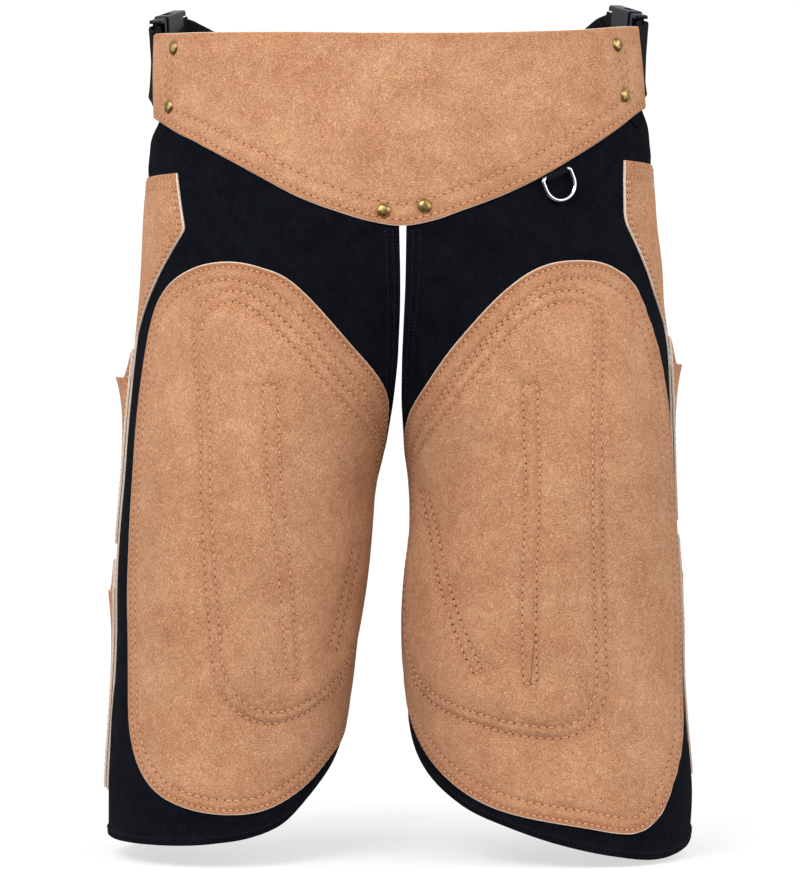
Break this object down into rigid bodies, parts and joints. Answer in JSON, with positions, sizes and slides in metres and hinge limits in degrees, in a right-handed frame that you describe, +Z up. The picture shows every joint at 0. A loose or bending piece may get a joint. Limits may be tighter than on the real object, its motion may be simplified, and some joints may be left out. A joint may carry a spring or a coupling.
{
  "type": "farrier apron",
  "caption": "Split-leg work apron in its worn form: suede waist yoke, canvas legs with padded suede knee patches, hollow side pockets, buckled webbing belt and a hanging D-ring.",
  "frame": {"origin": "middle of the waist opening at belt level, where the wearer's waist holds the apron", "axes": "-Y faces the front, +X is the viewer's right seen from the front, +Z is up"},
  "size_m": [0.4661, 0.2612, 0.6689],
  "materials": {
    "suede": "light tan suede, napped",
    "canvas": "near-black navy woven canvas",
    "webbing": "black ribbed webbing",
    "buckle_plastic": "black moulded plastic, semi-gloss",
    "rivet_brass": "antique brass, slightly worn",
    "ring_chrome": "bright plated steel wire"
  },
  "bodies": {
    "apron": {"waist_panel": "suede", "leg_left": "canvas", "leg_right": "canvas", "patch_left": "suede", "patch_right": "suede", "hip_patch_left": "suede", "hip_patch_right": "suede", "pocket_upper_left": "suede", "pocket_upper_right": "suede", "pocket_lower_left": "suede", "pocket_lower_right": "suede", "leg_strap_left": "webbing", "leg_strap_right": "webbing", "belt_side_left": "webbing", "belt_side_right": "webbing", "belt_back": "webbing", "buckle_plug_left": "buckle_plastic", "buckle_plug_right": "buckle_plastic", "buckle_socket_left": "buckle_plastic", "buckle_socket_right": "buckle_plastic", "rivet_left_upper": "rivet_brass", "rivet_left_lower": "rivet_brass", "rivet_right_upper": "rivet_brass", "rivet_right_lower": "rivet_brass", "rivet_front_left": "rivet_brass", "rivet_front_right": "rivet_brass", "ring_loop": "webbing"},
    "ring": {"d_ring": "ring_chrome"}
  },
  "joints": [
    {"name": "ring_hinge", "type": "hinge", "parent": "apron", "child": "ring", "pos_m": [0.11811, -0.10698, -0.07313], "axis": [-0.8257, -0.3909, -0.4067], "range_deg": [0, 150]}
  ]
}
